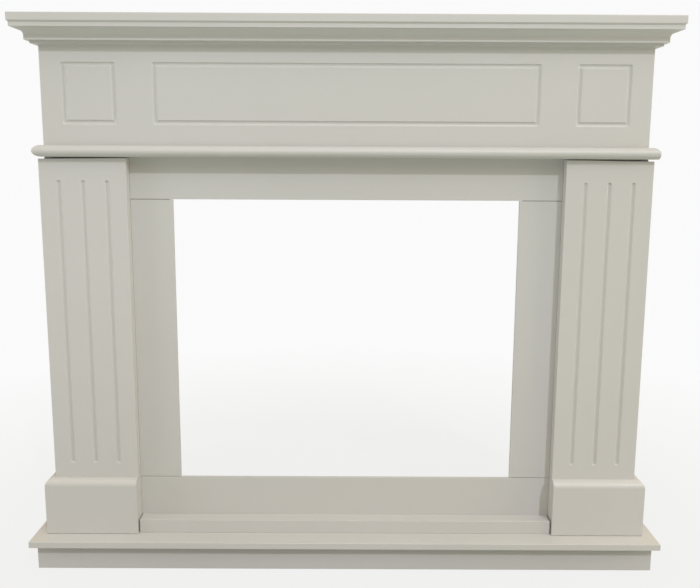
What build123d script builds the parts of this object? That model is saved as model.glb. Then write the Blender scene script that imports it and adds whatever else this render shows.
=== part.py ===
from build123d import *
import os

# Painted fire surround: a shelf and header on two legs, an inner frame round the fire
# opening, and a raised hearth. Flat-pack construction in 16 mm and 6 mm board.
# Millimetres. Origin on the floor at the centre of the footprint, +X to the right seen
# from the front, +Y towards the wall, +Z up.

BOARD = 16.0
THIN_BOARD = 6.0
EASE = 0.8
BACK_Y = 165.0

# Hearth and its base
HEARTH_HALF_WIDTH = 602.0
HEARTH_FRONT_Y = -165.0
HEARTH_BOTTOM = 52.0
HEARTH_TOP = 64.0
HEARTH_EDGE_RADIUS = 1.0
BASE_FRONT_INSET = 22.0
BASE_SIDE_INSET = 8.0
BASE_CROSS_RAIL_X = 200.0

# Legs
LEG_HALF_WIDTH = 562.5
PILASTER_WIDTH = 160.0
PILASTER_FRONT_Y = HEARTH_FRONT_Y + 53.0
PILASTER_TOP = 784.5
PILASTER_TOP_RISE = 2.0
FLUTE_OFFSETS = (36.0, 80.0, 124.0)
FLUTE_BOTTOM = 206.5
FLUTE_TOP = 741.5
LEG_TOP_BLOCK_HEIGHT = 40.0
LEG_FOOT_BLOCK_HEIGHT = 40.0
LEG_BACK_RAIL_HEIGHT = 80.0
LEG_BACK_RAIL_BOTTOM = 406.0

# Plinths round the feet of the legs
PLINTH_THICKNESS = 16.5
PLINTH_BOTTOM = HEARTH_TOP + 0.8
PLINTH_TOP = 174.0
PLINTH_ROUND = 13.5

# Inner frame round the fire opening
FRAME_JOINT_GAP = 0.8
FRAME_FRONT_Y = PILASTER_FRONT_Y + 21.0
OPENING_HALF_WIDTH = 323.0
OPENING_BOTTOM = 167.0
OPENING_TOP = 711.0
BATTEN = 25.0
BATTEN_END_GAP = 10.0
JOINT_PLATE = (46.0, 9.0, 90.0)

# Step strip on the hearth in front of the bottom rail
STRIP_FRONT_Y = PILASTER_FRONT_Y - 9.0
STRIP_TOP = HEARTH_TOP + 26.0
STRIP_END_GAP = 2.2

# Header, standing on the leg cores just clear of the pilaster faces
BULLNOSE_HALF_WIDTH = 567.5
BULLNOSE_FRONT_Y = PILASTER_FRONT_Y - 17.0
BULLNOSE_BOTTOM = PILASTER_TOP + 3.5
BULLNOSE_THICKNESS = 21.0
BULLNOSE_TOP = BULLNOSE_BOTTOM + BULLNOSE_THICKNESS
BULLNOSE_NOSE = 13.0
HEADER_HALF_WIDTH = 552.5
FRIEZE_FRONT_Y = PILASTER_FRONT_Y + 5.0
HEADER_TOP = 1020.0
BACK_RAIL_HEIGHT = 100.0
SHELF_CLEAT = 20.0
SHELF_CLEAT_END_GAP = 12.0
PANEL_BOTTOM = 850.0
PANEL_TOP = 952.0
SQUARE_PANEL_X = (420.5, 510.5)
LONG_PANEL_HALF_WIDTH = 346.5

# Shelf and the crown moulding under it
SHELF_HALF_WIDTH = 592.0
SHELF_FRONT_Y = PILASTER_FRONT_Y - 35.0
SHELF_TOP = HEADER_TOP + BOARD
SHELF_TOP_RADIUS = 1.5
SHELF_BOTTOM_CHAMFER = 2.5
CROWN_PROJECTION = 37.0
CROWN_FILLET = 7.5
COVE_DROP = 11.5
COVE_RADIUS = 15.0
CROWN_LIP_PROJECTION = 18.5
CROWN_LIP = 9.0
CROWN_STEP_PROJECTION = 11.0
CROWN_STEP = 5.0

# Routed round-bottomed grooves
GROOVE_RADIUS = 5.0
GROOVE_DEPTH = 2.6

# Fittings
CAM_RADIUS = 7.5
CAM_DEPTH = 12.0
CAM_EDGE_DISTANCE = 34.0
CAM_SLOT = (8.0, 1.6, 2.0)
BOLT_RADIUS = 3.0
BOLT_COLLAR_RADIUS = 3.75
BOLT_HEAD_LENGTH = 3.0
BOLT_PENETRATION = 9.0
BOLT_Y = (-40.0, 110.0)
SCREW_RADIUS = 2.0
SCREW_HEAD_RADIUS = 4.0
SCREW_HEAD_DEPTH = 2.5
SCREW_RECESS = (4.2, 0.9, 1.4)
BATTEN_SCREW_BITE = 4.0
SCREW_BITE = 24.0
SHELF_SCREW_BITE = 10.0
WALL_HOLE_RADIUS = 3.0
WALL_HOLE_X = 400.0
WALL_HOLE_Z = 970.0

LEG_INNER_X = LEG_HALF_WIDTH - PILASTER_WIDTH


def block(x, y, z):
    """Rectangular solid from (low, high) pairs along each axis."""
    size = (x[1] - x[0], y[1] - y[0], z[1] - z[0])
    centre = ((x[0] + x[1]) / 2, (y[0] + y[1]) / 2, (z[0] + z[1]) / 2)
    return Pos(*centre) * Box(*size)


def board(x, y, z):
    """Block with every edge eased, as a painted board has."""
    shape = block(x, y, z)
    return fillet(shape.edges(), EASE)


def mirrored(shape):
    """The left-hand copy of a right-hand piece."""
    return shape.mirror(Plane.YZ)


def rod(start, direction, radius, length):
    """Cylinder from a start point along a direction."""
    return Plane(origin=start, z_dir=direction) * Cylinder(
        radius, length, align=(Align.CENTER, Align.CENTER, Align.MIN)
    )


def drill(shape, tools):
    """Cut each tool out of the shape in turn."""
    for tool in tools:
        shape = shape - tool
    return shape


def shown_edges(shape, face_index):
    """Edges of the lowest (0) or highest (-1) face, all but the one against the wall."""
    edges = shape.faces().sort_by(Axis.Z)[face_index].edges()
    return [edge for edge in edges if edge.center().Y < BACK_Y - 1]


# --- routed grooves -------------------------------------------------------------

def groove(points, face_y):
    """Cuts of a round-nosed bit led through (x, z) points across a front face."""
    lift = GROOVE_RADIUS - GROOVE_DEPTH
    places = [Vector(x, face_y - lift, z) for x, z in points]
    cuts = [Pos(*place) * Sphere(GROOVE_RADIUS) for place in places]
    for start, end in zip(places, places[1:]):
        run = end - start
        cuts.append(rod(start, run, GROOVE_RADIUS, run.length))
    return cuts


def panel_groove(x_low, x_high, face_y):
    """Groove round one rectangular panel of the frieze."""
    low, high = PANEL_BOTTOM, PANEL_TOP
    corners = [(x_low, low), (x_high, low), (x_high, high), (x_low, high), (x_low, low)]
    return groove(corners, face_y)


# --- hearth and base ------------------------------------------------------------

def make_hearth_slab():
    half = HEARTH_HALF_WIDTH
    slab = block((-half, half), (HEARTH_FRONT_Y, BACK_Y), (HEARTH_BOTTOM, HEARTH_TOP))
    slab = fillet(shown_edges(slab, -1), HEARTH_EDGE_RADIUS)
    return drill(slab, leg_bolt_holes(HEARTH_TOP, -1))


def base_outline():
    """Half width, front and back of the base under the hearth slab."""
    half = HEARTH_HALF_WIDTH - BASE_SIDE_INSET
    return half, HEARTH_FRONT_Y + BASE_FRONT_INSET, BACK_Y - BASE_SIDE_INSET


def make_base_front_rail():
    half, front, _ = base_outline()
    return board((-half, half), (front, front + BOARD), (0, HEARTH_BOTTOM))


def make_base_back_rail():
    half, _, back = base_outline()
    return board((BOARD - half, half - BOARD), (back - BOARD, back), (0, HEARTH_BOTTOM))


def make_base_side_rail():
    half, front, back = base_outline()
    return board((half - BOARD, half), (front + BOARD, back), (0, HEARTH_BOTTOM))


def make_base_cross_rails():
    _, front, back = base_outline()
    rails = []
    for x in (-BASE_CROSS_RAIL_X, BASE_CROSS_RAIL_X):
        span_x = (x - BOARD / 2, x + BOARD / 2)
        rails.append(board(span_x, (front + BOARD, back - BOARD), (0, HEARTH_BOTTOM)))
    return rails


# --- legs -----------------------------------------------------------------------

def make_pilaster():
    """Fluted front board; its top edge runs slightly up towards the fire opening."""
    inner_top = PILASTER_TOP + PILASTER_TOP_RISE
    outline = Polygon(
        (LEG_INNER_X, HEARTH_TOP),
        (LEG_HALF_WIDTH, HEARTH_TOP),
        (LEG_HALF_WIDTH, PILASTER_TOP),
        (LEG_INNER_X, inner_top),
        align=None,
    )
    face = extrude(Plane.XZ * outline, amount=BOARD, dir=(0, 1, 0))
    face = Pos(0, PILASTER_FRONT_Y, 0) * face
    face = fillet(face.edges(), EASE)
    for offset in FLUTE_OFFSETS:
        x = LEG_HALF_WIDTH - offset
        face = drill(face, groove([(x, FLUTE_BOTTOM), (x, FLUTE_TOP)], PILASTER_FRONT_Y))
    return face


def make_leg_outer_side():
    x_span = (LEG_HALF_WIDTH - THIN_BOARD, LEG_HALF_WIDTH)
    return board(x_span, (PILASTER_FRONT_Y + BOARD, BACK_Y), (HEARTH_TOP, PILASTER_TOP))


def make_leg_inner_side():
    x_span = (LEG_INNER_X, LEG_INNER_X + BOARD)
    y_span = (PILASTER_FRONT_Y + BOARD, BACK_Y)
    side = board(x_span, y_span, (HEARTH_TOP, BULLNOSE_BOTTOM))
    tools = cam_bores() + leg_bolt_bores() + screw_holes(leg_rail_screws())
    return drill(side, tools)


def leg_box_inside():
    """Space between a right leg's two sides, as x limits."""
    return LEG_INNER_X + BOARD, LEG_HALF_WIDTH - THIN_BOARD


def make_leg_top_block():
    y_span = (PILASTER_FRONT_Y + BOARD, PILASTER_FRONT_Y + 3 * BOARD)
    z_span = (BULLNOSE_BOTTOM - LEG_TOP_BLOCK_HEIGHT, BULLNOSE_BOTTOM)
    return board(leg_box_inside(), y_span, z_span)


def make_leg_foot_block():
    y_span = (PILASTER_FRONT_Y + BOARD, PILASTER_FRONT_Y + 3 * BOARD)
    z_span = (HEARTH_TOP, HEARTH_TOP + LEG_FOOT_BLOCK_HEIGHT)
    return board(leg_box_inside(), y_span, z_span)


def make_leg_back_rail():
    z_span = (LEG_BACK_RAIL_BOTTOM, LEG_BACK_RAIL_BOTTOM + LEG_BACK_RAIL_HEIGHT)
    rail = board(leg_box_inside(), (BACK_Y - BOARD, BACK_Y), z_span)
    return drill(rail, screw_holes(leg_rail_screws()))


# --- plinths --------------------------------------------------------------------

def plinth_section():
    """Thickness by height, with the quarter-round top; the back is on x = 0."""
    shoulder = PLINTH_TOP - PLINTH_ROUND
    outline = Polyline(
        (PLINTH_THICKNESS, shoulder),
        (PLINTH_THICKNESS, PLINTH_BOTTOM),
        (0, PLINTH_BOTTOM),
        (0, PLINTH_TOP),
        (PLINTH_THICKNESS - PLINTH_ROUND, PLINTH_TOP),
    )
    round_over = RadiusArc(
        (PLINTH_THICKNESS - PLINTH_ROUND, PLINTH_TOP),
        (PLINTH_THICKNESS, shoulder),
        PLINTH_ROUND,
    )
    return make_face(Curve() + [outline, round_over])


def moulding_front(section, half_length, face_y, start_x=None):
    """Section run along X on a face that looks to -Y."""
    low = -half_length if start_x is None else start_x
    plane = Plane(origin=(low, face_y, 0), x_dir=(0, -1, 0), z_dir=(-1, 0, 0))
    placed = plane.location * section
    return extrude(placed, amount=half_length - low, dir=(1, 0, 0))


def moulding_return(section, face_x, front_y):
    """Section run along Y to the back on a face that looks to +X."""
    plane = Plane(origin=(face_x, front_y, 0), x_dir=(1, 0, 0), z_dir=(0, -1, 0))
    placed = plane.location * section
    return extrude(placed, amount=BACK_Y - front_y, dir=(0, 1, 0))


def mitre_wedge(corner_x, corner_y, reach):
    """Space on the return's side of the 45 degree line out of a right-hand corner."""
    outline = Polygon(
        (corner_x, corner_y),
        (corner_x + reach, corner_y - reach),
        (corner_x + reach, corner_y),
        align=None,
    )
    return extrude(outline, amount=SHELF_TOP, dir=(0, 0, 1))


def make_plinth_front():
    section = plinth_section()
    length = LEG_HALF_WIDTH + PLINTH_THICKNESS
    front = moulding_front(section, length, PILASTER_FRONT_Y, LEG_INNER_X)
    wedge = mitre_wedge(LEG_HALF_WIDTH, PILASTER_FRONT_Y, 2 * PLINTH_THICKNESS)
    return front - wedge


def make_plinth_return():
    section = plinth_section()
    front_y = PILASTER_FRONT_Y - PLINTH_THICKNESS
    side = moulding_return(section, LEG_HALF_WIDTH, front_y)
    wedge = mitre_wedge(LEG_HALF_WIDTH, PILASTER_FRONT_Y, 2 * PLINTH_THICKNESS)
    rear_y = (PILASTER_FRONT_Y, BACK_Y)
    rear = block((LEG_HALF_WIDTH, LEG_HALF_WIDTH + PLINTH_THICKNESS), rear_y, (0, SHELF_TOP))
    return side & (wedge + rear)


# --- inner frame ----------------------------------------------------------------

def frame_depth():
    return FRAME_FRONT_Y, FRAME_FRONT_Y + THIN_BOARD


def make_frame_top_rail():
    return board((-LEG_INNER_X, LEG_INNER_X), frame_depth(), (OPENING_TOP, BULLNOSE_BOTTOM))


def make_frame_bottom_rail():
    return board((-LEG_INNER_X, LEG_INNER_X), frame_depth(), (HEARTH_TOP, OPENING_BOTTOM))


def make_frame_stile():
    x_span = (OPENING_HALF_WIDTH, LEG_INNER_X)
    z_span = (OPENING_BOTTOM + FRAME_JOINT_GAP, OPENING_TOP - FRAME_JOINT_GAP)
    return drill(board(x_span, frame_depth(), z_span), screw_holes(batten_screws()))


def make_joint_plates():
    """Plates glued across the four frame joints, between the opening and the side battens."""
    wide, thick, tall = JOINT_PLATE
    back = FRAME_FRONT_Y + THIN_BOARD
    outer = LEG_INNER_X - BATTEN
    plates = []
    for z in (OPENING_BOTTOM, OPENING_TOP):
        z_span = (z - tall / 2, z + tall / 2)
        plate = board((outer - wide, outer), (back, back + thick), z_span)
        plates.extend([plate, mirrored(plate)])
    return plates


def make_side_batten():
    back = FRAME_FRONT_Y + THIN_BOARD
    z_span = (HEARTH_TOP + BATTEN + BATTEN_END_GAP, BULLNOSE_BOTTOM - BATTEN - BATTEN_END_GAP)
    batten = board((LEG_INNER_X - BATTEN, LEG_INNER_X), (back, back + BATTEN), z_span)
    return drill(batten, screw_holes(batten_screws()))


def make_top_batten():
    back = FRAME_FRONT_Y + THIN_BOARD
    half = LEG_INNER_X - BATTEN_END_GAP
    z_span = (BULLNOSE_BOTTOM - BATTEN, BULLNOSE_BOTTOM)
    return board((-half, half), (back, back + BATTEN), z_span)


def make_bottom_batten():
    back = FRAME_FRONT_Y + THIN_BOARD
    half = LEG_INNER_X - BATTEN_END_GAP
    return board((-half, half), (back, back + BATTEN), (HEARTH_TOP, HEARTH_TOP + BATTEN))


def make_step_strip():
    half = LEG_INNER_X - STRIP_END_GAP
    return board((-half, half), (STRIP_FRONT_Y, FRAME_FRONT_Y), (HEARTH_TOP, STRIP_TOP))


# --- header ---------------------------------------------------------------------

def front_nose_run():
    """Board with a half-elliptical nose along the front."""
    root_y = BULLNOSE_FRONT_Y + BULLNOSE_NOSE
    depth = BACK_Y - root_y
    section = Ellipse(BULLNOSE_NOSE, BULLNOSE_THICKNESS / 2)
    section += Pos(-depth / 2, 0) * Rectangle(depth, BULLNOSE_THICKNESS)
    middle_z = BULLNOSE_BOTTOM + BULLNOSE_THICKNESS / 2
    origin = (-BULLNOSE_HALF_WIDTH, root_y, middle_z)
    plane = Plane(origin=origin, x_dir=(0, -1, 0), z_dir=(-1, 0, 0))
    return extrude(plane.location * section, amount=2 * BULLNOSE_HALF_WIDTH, dir=(1, 0, 0))


def end_nose_run():
    """Board with a half-elliptical nose along both ends."""
    root_x = BULLNOSE_HALF_WIDTH - BULLNOSE_NOSE
    section = Rectangle(2 * root_x, BULLNOSE_THICKNESS)
    for x in (-root_x, root_x):
        section += Pos(x, 0) * Ellipse(BULLNOSE_NOSE, BULLNOSE_THICKNESS / 2)
    middle_z = BULLNOSE_BOTTOM + BULLNOSE_THICKNESS / 2
    plane = Plane(origin=(0, BULLNOSE_FRONT_Y, middle_z), x_dir=(1, 0, 0), z_dir=(0, -1, 0))
    return extrude(plane.location * section, amount=BACK_Y - BULLNOSE_FRONT_Y, dir=(0, 1, 0))


def make_bullnose_board():
    """The two runs meet in mitred corners."""
    plank = front_nose_run() & end_nose_run()
    return drill(plank, leg_bolt_holes(BULLNOSE_BOTTOM, 1))


def make_frieze_board():
    half = HEADER_HALF_WIDTH
    y_span = (FRIEZE_FRONT_Y, FRIEZE_FRONT_Y + BOARD)
    frieze = block((-half, half), y_span, (BULLNOSE_TOP, HEADER_TOP))
    frieze = fillet(frieze.edges().filter_by(Axis.Z), EASE)
    inner, outer = SQUARE_PANEL_X
    for low, high in (
        (-outer, -inner),
        (-LONG_PANEL_HALF_WIDTH, LONG_PANEL_HALF_WIDTH),
        (inner, outer),
    ):
        frieze = drill(frieze, panel_groove(low, high, FRIEZE_FRONT_Y))
    return frieze


def make_header_end():
    x_span = (HEADER_HALF_WIDTH - BOARD, HEADER_HALF_WIDTH)
    return board(x_span, (FRIEZE_FRONT_Y + BOARD, BACK_Y), (BULLNOSE_TOP, HEADER_TOP))


def make_header_back_rail():
    half = HEADER_HALF_WIDTH - BOARD
    z_span = (HEADER_TOP - BACK_RAIL_HEIGHT, HEADER_TOP)
    rail = board((-half, half), (BACK_Y - BOARD, BACK_Y), z_span)
    holes = [
        rod((x, BACK_Y - 2 * BOARD, WALL_HOLE_Z), (0, 1, 0), WALL_HOLE_RADIUS, 3 * BOARD)
        for x in (-WALL_HOLE_X, WALL_HOLE_X)
    ]
    return drill(rail, holes)


def make_header_divider():
    half = BOARD / 2
    y_span = (FRIEZE_FRONT_Y + BOARD, BACK_Y - BOARD)
    return board((-half, half), y_span, (BULLNOSE_TOP, HEADER_TOP))


def shelf_cleat_spans():
    """x limits of the left and right cleats, between the header's ends and its divider."""
    inner = BOARD / 2 + SHELF_CLEAT_END_GAP
    outer = HEADER_HALF_WIDTH - BOARD - SHELF_CLEAT_END_GAP
    return (-outer, -inner), (inner, outer)


def make_shelf_cleats():
    front = FRIEZE_FRONT_Y + BOARD
    z_span = (HEADER_TOP - SHELF_CLEAT, HEADER_TOP)
    cleats = []
    for x_span in shelf_cleat_spans():
        cleat = board(x_span, (front, front + SHELF_CLEAT), z_span)
        cleats.append(drill(cleat, screw_holes(shelf_screws())))
    return cleats


# --- shelf and crown ------------------------------------------------------------

def make_shelf():
    half = SHELF_HALF_WIDTH
    shelf = block((-half, half), (SHELF_FRONT_Y, BACK_Y), (HEADER_TOP, SHELF_TOP))
    shelf = fillet(shown_edges(shelf, -1), SHELF_TOP_RADIUS)
    shelf = chamfer(shown_edges(shelf, 0), SHELF_BOTTOM_CHAMFER)
    return drill(shelf, screw_holes(shelf_screws()))


def crown_section():
    """Projection by height: fillet, cove, upright lip and a step back under it."""
    fillet_bottom = HEADER_TOP - CROWN_FILLET
    lip_top = fillet_bottom - COVE_DROP
    lip_bottom = lip_top - CROWN_LIP
    outline = Polyline(
        (CROWN_LIP_PROJECTION, lip_top),
        (CROWN_LIP_PROJECTION, lip_bottom),
        (CROWN_STEP_PROJECTION, lip_bottom),
        (CROWN_STEP_PROJECTION, lip_bottom - CROWN_STEP),
        (0, lip_bottom - CROWN_STEP),
        (0, HEADER_TOP),
        (CROWN_PROJECTION, HEADER_TOP),
        (CROWN_PROJECTION, fillet_bottom),
    )
    cove_ends = ((CROWN_PROJECTION, fillet_bottom), (CROWN_LIP_PROJECTION, lip_top))
    cove = RadiusArc(*cove_ends, -COVE_RADIUS)
    return make_face(Curve() + [outline, cove])


def make_crown_front():
    section = crown_section()
    reach = HEADER_HALF_WIDTH + CROWN_PROJECTION
    front = moulding_front(section, reach, FRIEZE_FRONT_Y)
    wedge = mitre_wedge(HEADER_HALF_WIDTH, FRIEZE_FRONT_Y, 2 * CROWN_PROJECTION)
    return front - wedge - mirrored(wedge)


def make_crown_return():
    section = crown_section()
    side = moulding_return(section, HEADER_HALF_WIDTH, FRIEZE_FRONT_Y - CROWN_PROJECTION)
    wedge = mitre_wedge(HEADER_HALF_WIDTH, FRIEZE_FRONT_Y, 2 * CROWN_PROJECTION)
    x_span = (HEADER_HALF_WIDTH, HEADER_HALF_WIDTH + CROWN_PROJECTION)
    rear = block(x_span, (FRIEZE_FRONT_Y, BACK_Y), (0, SHELF_TOP))
    return side & (wedge + rear)


# --- fittings -------------------------------------------------------------------

def leg_bolt_points():
    """x, y of the bolts that tie each leg's inner side to the boards above and below."""
    x = LEG_INNER_X + BOARD / 2
    return [(side * x, y) for side in (-1, 1) for y in BOLT_Y]


def leg_bolt_holes(face_z, up):
    """Blind holes in a horizontal board for the threaded ends of the bolts."""
    return [
        rod((x, y, face_z), (0, 0, up), BOLT_RADIUS, BOLT_PENETRATION)
        for x, y in leg_bolt_points()
    ]


def leg_joints():
    """Height of the leg's end and the direction from it into the leg, bottom then top."""
    return (HEARTH_TOP, 1), (BULLNOSE_BOTTOM, -1)


def leg_bolt_bores():
    """Clearance bores along the right leg's inner side, from its ends to the cams."""
    x = LEG_INNER_X + BOARD / 2
    return [
        rod((x, y, end_z), (0, 0, inward), BOLT_COLLAR_RADIUS, CAM_EDGE_DISTANCE)
        for y in BOLT_Y
        for end_z, inward in leg_joints()
    ]


def cam_bores():
    """Round pockets for the cams, bored from inside the right leg."""
    face_x = LEG_INNER_X + BOARD
    return [
        rod((face_x, y, end_z + inward * CAM_EDGE_DISTANCE), (-1, 0, 0), CAM_RADIUS, CAM_DEPTH)
        for y in BOLT_Y
        for end_z, inward in leg_joints()
    ]


def make_cams():
    """Cam locks of both legs, each with a driver slot and a notch for its bolt's head."""
    face_x = LEG_INNER_X + BOARD
    slot_long, slot_wide, slot_deep = CAM_SLOT
    cams = []
    for y in BOLT_Y:
        for end_z, inward in leg_joints():
            z = end_z + inward * CAM_EDGE_DISTANCE
            cam = rod((face_x, y, z), (-1, 0, 0), CAM_RADIUS, CAM_DEPTH)
            slot = Pos(face_x, y, z) * Box(2 * slot_deep, slot_long, slot_wide)
            axis_x = LEG_INNER_X + BOARD / 2
            notch_start = (axis_x, y, z - inward * 2 * CAM_RADIUS)
            notch = rod(notch_start, (0, 0, inward), BOLT_COLLAR_RADIUS, 2 * CAM_RADIUS)
            cam = cam - slot - notch
            cams.extend([cam, mirrored(cam)])
    return cams


def make_cam_bolts():
    """Bolts that screw into the boards above and below and reach to the cams."""
    bolts = []
    for x, y in leg_bolt_points():
        for end_z, inward in leg_joints():
            thread_start = (x, y, end_z - inward * BOLT_PENETRATION)
            reach = CAM_EDGE_DISTANCE - BOLT_HEAD_LENGTH
            shank = rod(thread_start, (0, 0, inward), BOLT_RADIUS, BOLT_PENETRATION + reach)
            head_start = (x, y, end_z + inward * reach)
            head = rod(head_start, (0, 0, -inward), BOLT_COLLAR_RADIUS - 0.25, BOLT_HEAD_LENGTH)
            bolts.append(shank + head)
    return bolts


def screw_blank(head_point, direction, length):
    """Countersunk screw without its driver recess; also the hole it sits in."""
    head = Plane(origin=head_point, z_dir=direction) * Cone(
        SCREW_HEAD_RADIUS,
        SCREW_RADIUS,
        SCREW_HEAD_DEPTH,
        align=(Align.CENTER, Align.CENTER, Align.MIN),
    )
    return head + rod(head_point, direction, SCREW_RADIUS, length)


def screw(head_point, direction, length):
    """Countersunk screw with a cross-shaped driver recess."""
    long, wide, deep = SCREW_RECESS
    cross = Box(long, wide, 2 * deep) + Box(wide, long, 2 * deep)
    head_plane = Plane(origin=head_point, z_dir=direction)
    return screw_blank(head_point, direction, length) - head_plane * cross


def screw_holes(places):
    return [screw_blank(*place) for place in places]


def batten_screws():
    """Head point, direction and length of the screws through the right side batten."""
    back = FRAME_FRONT_Y + THIN_BOARD + BATTEN
    x = LEG_INNER_X - BATTEN / 2
    length = BATTEN + BATTEN_SCREW_BITE
    return [((x, back, z), (0, -1, 0), length) for z in (226.0, 441.0, 656.0)]


def leg_rail_screws():
    """Head point, direction and length of the screws into the right leg's back rail."""
    y = BACK_Y - BOARD / 2
    low, high = LEG_BACK_RAIL_BOTTOM, LEG_BACK_RAIL_BOTTOM + LEG_BACK_RAIL_HEIGHT
    length = BOARD + SCREW_BITE
    return [((LEG_INNER_X, y, z), (1, 0, 0), length) for z in (low + 20, high - 20)]


def shelf_screws():
    """Head point, direction and length of the screws up through the cleats into the shelf."""
    y = FRIEZE_FRONT_Y + BOARD + SHELF_CLEAT / 2
    z = HEADER_TOP - SHELF_CLEAT
    length = SHELF_CLEAT + SHELF_SCREW_BITE
    return [((x, y, z), (0, 0, 1), length) for x in (-450.0, -200.0, 200.0, 450.0)]


def make_screws():
    right = [screw(*place) for place in batten_screws() + leg_rail_screws()]
    left = [mirrored(shape) for shape in right]
    return right + left + [screw(*place) for place in shelf_screws()]


# --- write the parts ------------------------------------------------------------

def pair(name, shape):
    """Right-hand piece and its left-hand mirror image."""
    return {f"{name}_right": shape, f"{name}_left": mirrored(shape)}


def build_parts():
    return {
        "shelf_board": make_shelf(),
        "crown_front": make_crown_front(),
        **pair("crown_return", make_crown_return()),
        "frieze_board": make_frieze_board(),
        **pair("header_end", make_header_end()),
        "header_back_rail": make_header_back_rail(),
        "header_divider": make_header_divider(),
        "shelf_cleats": Compound(make_shelf_cleats()),
        "bullnose_board": make_bullnose_board(),
        **pair("pilaster", make_pilaster()),
        **pair("leg_outer_side", make_leg_outer_side()),
        **pair("leg_inner_side", make_leg_inner_side()),
        **pair("leg_top_block", make_leg_top_block()),
        **pair("leg_foot_block", make_leg_foot_block()),
        **pair("leg_back_rail", make_leg_back_rail()),
        **pair("plinth_front", make_plinth_front()),
        **pair("plinth_return", make_plinth_return()),
        "frame_top_rail": make_frame_top_rail(),
        "frame_bottom_rail": make_frame_bottom_rail(),
        **pair("frame_stile", make_frame_stile()),
        **pair("side_batten", make_side_batten()),
        "top_batten": make_top_batten(),
        "bottom_batten": make_bottom_batten(),
        "frame_joint_plates": Compound(make_joint_plates()),
        "step_strip": make_step_strip(),
        "hearth_slab": make_hearth_slab(),
        "base_front_rail": make_base_front_rail(),
        "base_back_rail": make_base_back_rail(),
        **pair("base_side_rail", make_base_side_rail()),
        "base_cross_rails": Compound(make_base_cross_rails()),
        "cam_locks": Compound(make_cams()),
        "cam_bolts": Compound(make_cam_bolts()),
        "screws": Compound(make_screws()),
    }


os.makedirs("parts", exist_ok=True)
for part_name, shape in build_parts().items():
    export_step(shape, f"parts/{part_name}.step")
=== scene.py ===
import math

import bpy
from mathutils import Matrix, Vector


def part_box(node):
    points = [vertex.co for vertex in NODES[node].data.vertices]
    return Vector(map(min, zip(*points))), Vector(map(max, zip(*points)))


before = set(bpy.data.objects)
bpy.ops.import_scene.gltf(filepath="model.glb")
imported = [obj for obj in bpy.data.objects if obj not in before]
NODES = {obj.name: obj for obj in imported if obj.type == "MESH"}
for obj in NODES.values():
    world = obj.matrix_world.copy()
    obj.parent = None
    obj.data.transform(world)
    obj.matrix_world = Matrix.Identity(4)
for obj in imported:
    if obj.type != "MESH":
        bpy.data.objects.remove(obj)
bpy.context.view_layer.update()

# Looks of the painted fire surround: materials for every CAD node, a pale floor, lights
# and the camera. Metres, in the CAD frame: +X right, +Y towards the wall, +Z up.

PAINTED = [
    "shelf_board", "crown_front", "crown_return_right", "crown_return_left", "frieze_board",
    "header_end_right", "header_end_left", "bullnose_board", "pilaster_right", "pilaster_left",
    "leg_outer_side_right", "leg_outer_side_left", "plinth_front_right", "plinth_front_left",
    "plinth_return_right", "plinth_return_left", "frame_top_rail", "frame_bottom_rail",
    "frame_stile_right", "frame_stile_left", "step_strip", "hearth_slab", "base_front_rail",
    "base_side_rail_right", "base_side_rail_left", "leg_inner_side_right", "leg_inner_side_left",
    "leg_top_block_right", "leg_top_block_left",
]
BARE = [
    "header_back_rail", "header_divider", "leg_back_rail_right", "leg_back_rail_left",
    "base_back_rail", "base_cross_rails", "frame_joint_plates",
]
PINE_ALONG = {
    "shelf_cleats": "X", "top_batten": "X", "bottom_batten": "X",
    "leg_foot_block_right": "X", "leg_foot_block_left": "X",
    "side_batten_right": "Z", "side_batten_left": "Z",
}


# --- shader helpers -----------------------------------------------------------

def set_stops(node, stops):
    """Fill a colour ramp node with (place, colour) stops."""
    elements = node.color_ramp.elements
    while len(elements) < len(stops):
        elements.new(0.5)
    for element, (place, colour) in zip(elements, stops):
        element.position = place
        element.color = (*colour, 1.0)


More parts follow.
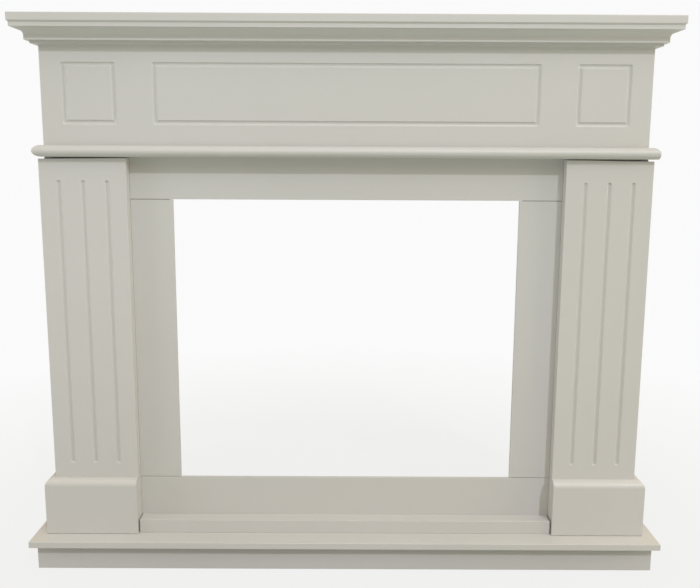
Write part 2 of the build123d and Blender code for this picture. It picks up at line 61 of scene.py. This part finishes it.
class Shader:
    """A node material under construction, with a Principled surface."""

    def __init__(self, name):
        self.material = bpy.data.materials.new(name)
        self.material.use_nodes = True
        self.tree = self.material.node_tree
        self.tree.nodes.clear()
        self.output = self.add("ShaderNodeOutputMaterial")
        self.surface = self.add("ShaderNodeBsdfPrincipled")
        self.link(self.surface.outputs["BSDF"], self.output.inputs["Surface"])
        self.position = self.add("ShaderNodeTexCoord").outputs["Object"]

    def add(self, kind, **settings):
        node = self.tree.nodes.new(kind)
        for key, value in settings.items():
            setattr(node, key, value)
        return node

    def link(self, source, target):
        self.tree.links.new(source, target)

    def stretched(self, scale):
        mapping = self.add("ShaderNodeMapping")
        mapping.inputs["Scale"].default_value = scale
        self.link(self.position, mapping.inputs["Vector"])
        return mapping.outputs["Vector"]

    def noise(self, scale, detail, roughness, vector=None):
        node = self.add("ShaderNodeTexNoise")
        node.inputs["Scale"].default_value = scale
        node.inputs["Detail"].default_value = detail
        node.inputs["Roughness"].default_value = roughness
        self.link(vector or self.position, node.inputs["Vector"])
        return node.outputs["Fac"]

    def remap(self, value, from_low, from_high, to_low, to_high):
        node = self.add("ShaderNodeMapRange")
        node.inputs["From Min"].default_value = from_low
        node.inputs["From Max"].default_value = from_high
        node.inputs["To Min"].default_value = to_low
        node.inputs["To Max"].default_value = to_high
        self.link(value, node.inputs["Value"])
        return node.outputs["Result"]

    def ramp(self, value, stops):
        node = self.add("ShaderNodeValToRGB")
        set_stops(node, stops)
        self.link(value, node.inputs["Fac"])
        return node.outputs["Color"]

    def blend(self, factor, first, second):
        node = self.add("ShaderNodeMix", data_type="RGBA")
        sockets = (node.inputs[0], node.inputs[6], node.inputs[7])
        for socket, value in zip(sockets, (factor, first, second)):
            if isinstance(value, bpy.types.NodeSocket):
                self.link(value, socket)
            elif isinstance(value, tuple):
                socket.default_value = (*value, 1.0)
            else:
                socket.default_value = value
        return node.outputs[2]

    def maths(self, operation, first, second):
        node = self.add("ShaderNodeMath", operation=operation)
        for socket, value in zip(node.inputs, (first, second)):
            if isinstance(value, bpy.types.NodeSocket):
                self.link(value, socket)
            else:
                socket.default_value = value
        return node.outputs[0]

    def bump(self, height, distance, strength, below=None):
        node = self.add("ShaderNodeBump")
        node.inputs["Distance"].default_value = distance
        node.inputs["Strength"].default_value = strength
        self.link(height, node.inputs["Height"])
        if below is not None:
            self.link(below, node.inputs["Normal"])
        return node.outputs["Normal"]

    def facing_wall(self):
        """1 on surfaces that look straight back to the wall, 0 elsewhere."""
        parts = self.add("ShaderNodeSeparateXYZ")
        self.link(self.add("ShaderNodeNewGeometry").outputs["True Normal"], parts.inputs["Vector"])
        return self.remap(parts.outputs["Y"], 0.9, 0.95, 0.0, 1.0)

    def finish(self, colour, roughness, normal=None):
        self.link(colour, self.surface.inputs["Base Color"])
        self.link(roughness, self.surface.inputs["Roughness"])
        if normal is not None:
            self.link(normal, self.surface.inputs["Normal"])
        return self.material


# --- materials ----------------------------------------------------------------

# Tones are (place on the ramp, linear colour). Roughness is 0 for polished, 1 for matt.
BARE_ROUGHNESS = 0.85
PAINT_TONES = [
    (0.30, (0.555, 0.55, 0.522)),
    (0.70, (0.585, 0.58, 0.556)),
]
FIBRE_TONES = [
    (0.30, (0.30, 0.205, 0.12)),
    (0.55, (0.42, 0.30, 0.185)),
    (0.75, (0.50, 0.38, 0.25)),
]
PINE_TONES = [
    (0.10, (0.62, 0.44, 0.25)),
    (0.60, (0.56, 0.37, 0.19)),
    (0.95, (0.42, 0.25, 0.11)),
]
PINE_STRETCH = {"X": (1.2, 22.0, 22.0), "Z": (22.0, 22.0, 1.2)}
PORE_FINENESS = 14
ZINC_TONES = [
    (0.30, (0.42, 0.42, 0.43)),
    (0.70, (0.58, 0.58, 0.60)),
]


def fibreboard_colour(shader):
    fibres = shader.noise(900.0, 4.0, 0.7)
    clumps = shader.noise(60.0, 3.0, 0.6)
    fine = shader.ramp(fibres, FIBRE_TONES)
    tone = shader.remap(clumps, 0.3, 0.7, 0.0, 0.35)
    return shader.blend(tone, fine, (0.36, 0.25, 0.15))


def satin_paint(name):
    """Sprayed off-white satin on fibreboard; faces against the wall are left bare."""
    shader = Shader(name)
    drift = shader.noise(2.2, 2.0, 0.5)
    mottle = shader.noise(28.0, 4.0, 0.6)
    tone = shader.ramp(drift, PAINT_TONES)
    fleck = shader.remap(mottle, 0.3, 0.7, 0.0, 0.10)
    paint = shader.blend(fleck, tone, (0.50, 0.495, 0.455))
    bare = shader.facing_wall()
    colour = shader.blend(bare, paint, fibreboard_colour(shader))
    sheen = shader.remap(mottle, 0.25, 0.75, 0.36, 0.48)
    matt = shader.maths("MULTIPLY", bare, BARE_ROUGHNESS)
    roughness = shader.maths("MAXIMUM", sheen, matt)
    peel = shader.bump(shader.noise(420.0, 3.0, 0.45), 0.00010, 0.35)
    waves = shader.bump(shader.noise(9.0, 2.0, 0.4), 0.0012, 0.10, below=peel)
    return shader.finish(colour, roughness, waves)


def bare_board(name):
    """Raw fibreboard, matt and slightly fuzzy."""
    shader = Shader(name)
    fuzz = shader.noise(1300.0, 3.0, 0.7)
    roughness = shader.remap(fuzz, 0.3, 0.7, 0.78, 0.92)
    return shader.finish(fibreboard_colour(shader), roughness, shader.bump(fuzz, 0.00012, 0.5))


def pine(name, along):
    """Planed pine with growth rings stretched along the piece."""
    shader = Shader(name)
    stretch = PINE_STRETCH[along]
    rings = shader.add("ShaderNodeTexWave", wave_type="RINGS", rings_direction=along)
    rings.inputs["Scale"].default_value = 2.2
    rings.inputs["Distortion"].default_value = 3.5
    rings.inputs["Detail"].default_value = 2.0
    rings.inputs["Detail Scale"].default_value = 1.4
    shader.link(shader.stretched(stretch), rings.inputs["Vector"])
    wood = shader.ramp(rings.outputs["Fac"], PINE_TONES)
    pores_at = shader.stretched(tuple(scale * PORE_FINENESS for scale in stretch))
    pores = shader.noise(3.0, 3.0, 0.6, vector=pores_at)
    colour = shader.blend(shader.remap(pores, 0.35, 0.7, 0.0, 0.35), wood, (0.47, 0.30, 0.15))
    roughness = shader.remap(pores, 0.3, 0.7, 0.52, 0.68)
    return shader.finish(colour, roughness, shader.bump(pores, 0.0002, 0.4))


def cast_zinc(name):
    """Dull die-cast metal with a fine grain."""
    shader = Shader(name)
    shader.surface.inputs["Metallic"].default_value = 1.0
    grain = shader.noise(1500.0, 3.0, 0.6)
    cloud = shader.noise(140.0, 2.0, 0.5)
    colour = shader.ramp(cloud, ZINC_TONES)
    roughness = shader.remap(grain, 0.3, 0.7, 0.38, 0.58)
    return shader.finish(colour, roughness, shader.bump(grain, 0.00006, 0.6))


def plated_steel(name, dark, light):
    """Plated fastener with fine turning marks."""
    shader = Shader(name)
    shader.surface.inputs["Metallic"].default_value = 1.0
    marks = shader.noise(2600.0, 2.0, 0.5)
    cloud = shader.noise(300.0, 2.0, 0.5)
    colour = shader.ramp(cloud, [(0.3, dark), (0.7, light)])
    roughness = shader.remap(marks, 0.3, 0.7, 0.22, 0.38)
    return shader.finish(colour, roughness, shader.bump(marks, 0.00003, 0.5))


def dress(names, material):
    """Give each named CAD node the one material."""
    for name in names:
        slots = NODES[name].data.materials
        slots.clear()
        slots.append(material)


def dress_all():
    dress(PAINTED, satin_paint("painted_board"))
    dress(BARE, bare_board("bare_board"))
    woods = {axis: pine(f"pine_along_{axis}", axis) for axis in ("X", "Z")}
    for name, axis in PINE_ALONG.items():
        dress([name], woods[axis])
    dress(["cam_locks"], cast_zinc("cast_zinc"))
    dress(["cam_bolts"], plated_steel("zinc_plate", (0.55, 0.56, 0.58), (0.68, 0.69, 0.71)))
    dress(["screws"], plated_steel("yellow_passivate", (0.55, 0.44, 0.22), (0.70, 0.60, 0.36)))


# --- setting ------------------------------------------------------------------

# The floor's glow stands for light off a bright room floor: full away from the object and
# weak round its foot, with the change spread over GLOW_REACH metres.
FLOOR_SIZE = 30.0
FLOOR_COLOUR = (0.30, 0.30, 0.30)
FLOOR_GLOW = (0.46, 0.53, 0.46)
GLOW_REACH = 3.0
GLOW_AT_FOOT = 0.38
COVER_AT_FOOT = 0.82
BACKDROP = (0.96, 0.96, 0.96)
SKY = [
    (0.60, (0.0, 0.0, 0.0)),
    (0.72, (0.90, 0.77, 0.60)),
    (0.84, (0.79, 0.70, 0.50)),
]
# Directions run from the object to the light.
KEY_TOWARDS = (0.46, -1.0, 0.95)
KEY_COLOUR = (0.88, 0.91, 1.05)
KEY_STRENGTH = 0.97
KEY_SOFTNESS = math.radians(1.4)
# Each panel: name, watts, colour, the point it aims at and its offset from that point.
PANEL_SIZE = 1.6
PANELS = [
    ("overhead", 9.0, (1.00, 1.10, 1.25), (0.0, -0.11, 0.85), (0.2, -1.1, 1.5)),
    ("left", 29.0, (1.00, 0.96, 1.10), (0.0, 0.0, 0.5), (-3.4, -1.0, 0.3)),
    ("right", 32.0, (1.00, 0.86, 0.66), (0.0, 0.0, 0.6), (3.4, -1.0, 0.5)),
    ("side", 22.0, (1.00, 1.00, 1.00), (0.0, 0.0, 0.5), (3.6, 0.1, 0.3)),
]


def floor_material():
    """Pale floor that glows upwards; the camera sees mostly a plain pale sheet."""
    shader = Shader("floor")
    shader.surface.inputs["Base Color"].default_value = (*FLOOR_COLOUR, 1.0)
    shader.surface.inputs["Roughness"].default_value = 0.9
    shader.surface.inputs["Specular IOR Level"].default_value = 0.0
    near = shader.add("ShaderNodeTexGradient", gradient_type="SPHERICAL")
    shader.link(shader.stretched((1 / GLOW_REACH,) * 3), near.inputs["Vector"])
    glow = shader.remap(near.outputs["Fac"], 0.1, 0.75, 1.0, GLOW_AT_FOOT)
    shader.surface.inputs["Emission Color"].default_value = (*FLOOR_GLOW, 1.0)
    shader.link(glow, shader.surface.inputs["Emission Strength"])
    sheet = shader.add("ShaderNodeEmission")
    sheet.inputs["Color"].default_value = (*BACKDROP, 1.0)
    cover = shader.remap(near.outputs["Fac"], 0.4, 0.8, 1.0, COVER_AT_FOOT)
    to_camera = shader.add("ShaderNodeLightPath").outputs["Is Camera Ray"]
    mix = shader.add("ShaderNodeMixShader")
    shader.link(shader.maths("MULTIPLY", cover, to_camera), mix.inputs["Fac"])
    shader.link(shader.surface.outputs["BSDF"], mix.inputs[1])
    shader.link(sheet.outputs["Emission"], mix.inputs[2])
    shader.link(mix.outputs["Shader"], shader.output.inputs["Surface"])
    return shader.material


def make_floor():
    half = FLOOR_SIZE / 2
    mesh = bpy.data.meshes.new("floor")
    corners = [(-half, -half, 0), (half, -half, 0), (half, half, 0), (-half, half, 0)]
    mesh.from_pydata(corners, [], [(0, 1, 2, 3)])
    mesh.materials.append(floor_material())
    floor = bpy.data.objects.new("floor", mesh)
    bpy.context.scene.collection.objects.link(floor)


def make_world():
    """Soft warm fill from the upper sky, and a plain pale backdrop for the camera."""
    world = bpy.data.worlds.new("studio")
    bpy.context.scene.world = world
    world.use_nodes = True
    nodes, links = world.node_tree.nodes, world.node_tree.links
    nodes.clear()
    output = nodes.new("ShaderNodeOutputWorld")
    mix = nodes.new("ShaderNodeMixShader")
    path = nodes.new("ShaderNodeLightPath")
    height = nodes.new("ShaderNodeSeparateXYZ")
    raised = nodes.new("ShaderNodeMapRange")
    raised.inputs["From Min"].default_value = -1.0
    sky = nodes.new("ShaderNodeValToRGB")
    set_stops(sky, SKY)
    links.new(nodes.new("ShaderNodeTexCoord").outputs["Generated"], height.inputs["Vector"])
    links.new(height.outputs["Z"], raised.inputs["Value"])
    links.new(raised.outputs["Result"], sky.inputs["Fac"])
    fill = nodes.new("ShaderNodeBackground")
    links.new(sky.outputs["Color"], fill.inputs["Color"])
    seen = nodes.new("ShaderNodeBackground")
    seen.inputs["Color"].default_value = (*BACKDROP, 1.0)
    links.new(path.outputs["Is Camera Ray"], mix.inputs["Fac"])
    links.new(fill.outputs["Background"], mix.inputs[1])
    links.new(seen.outputs["Background"], mix.inputs[2])
    links.new(mix.outputs["Shader"], output.inputs["Surface"])


def add_lamp(name, light, towards, place):
    """Light shining from the direction towards it, seen from the object."""
    lamp = bpy.data.objects.new(name, light)
    lamp.location = place
    lamp.rotation_euler = Vector(towards).to_track_quat("Z", "Y").to_euler()
    bpy.context.scene.collection.objects.link(lamp)


def make_lights():
    """Key from the upper right, and large soft panels overhead, left, right and side on."""
    key = bpy.data.lights.new("key", "SUN")
    key.energy = KEY_STRENGTH
    key.color = KEY_COLOUR
    key.angle = KEY_SOFTNESS
    add_lamp("key", key, KEY_TOWARDS, (0.0, 0.0, 0.0))
    for name, power, colour, aim, offset in PANELS:
        panel = bpy.data.lights.new(name, "AREA")
        panel.shape = "DISK"
        panel.size = PANEL_SIZE
        panel.energy = power
        panel.color = colour
        add_lamp(name, panel, offset, Vector(aim) + Vector(offset))


# --- camera -------------------------------------------------------------------

# Metres and radians. The camera stands in front of the pilaster faces, a little to the
# right, and looks slightly down. The focal length is in sensor widths.
CAMERA_BEFORE_FACE = 1.5332
CAMERA_RIGHT = 0.0056
CAMERA_HEIGHT = 0.7948
CAMERA_TURN_LEFT = -0.0014
CAMERA_DOWN = 0.1666
CAMERA_ROLL = 0.0049
FOCAL_WIDTHS = 1.1861
SENSOR = 36.0
CLIP_END = 100.0


def make_camera():
    """Camera at the viewing point, its axes built from its turn, tilt and roll."""
    face_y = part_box("pilaster_right")[0].y
    turn, down, roll = CAMERA_TURN_LEFT, CAMERA_DOWN, CAMERA_ROLL
    ahead = Vector((-math.sin(turn), math.cos(turn), 0.0))
    forward = ahead * math.cos(down) - Vector((0.0, 0.0, math.sin(down)))
    level = Vector((math.cos(turn), math.sin(turn), 0.0))
    upright = level.cross(forward)
    right = level * math.cos(roll) + upright * math.sin(roll)
    up = upright * math.cos(roll) - level * math.sin(roll)
    data = bpy.data.cameras.new("camera")
    data.sensor_fit = "HORIZONTAL"
    data.sensor_width = SENSOR
    data.lens = SENSOR * FOCAL_WIDTHS
    data.clip_end = CLIP_END
    camera = bpy.data.objects.new("camera", data)
    rotation = Matrix((right, up, -forward)).transposed().to_4x4()
    place = Vector((CAMERA_RIGHT, face_y - CAMERA_BEFORE_FACE, CAMERA_HEIGHT))
    camera.matrix_world = Matrix.Translation(place) @ rotation
    bpy.context.scene.collection.objects.link(camera)
    bpy.context.scene.camera = camera


dress_all()
make_floor()
make_world()
make_lights()
make_camera()
bpy.context.scene.view_settings.view_transform = "Standard"
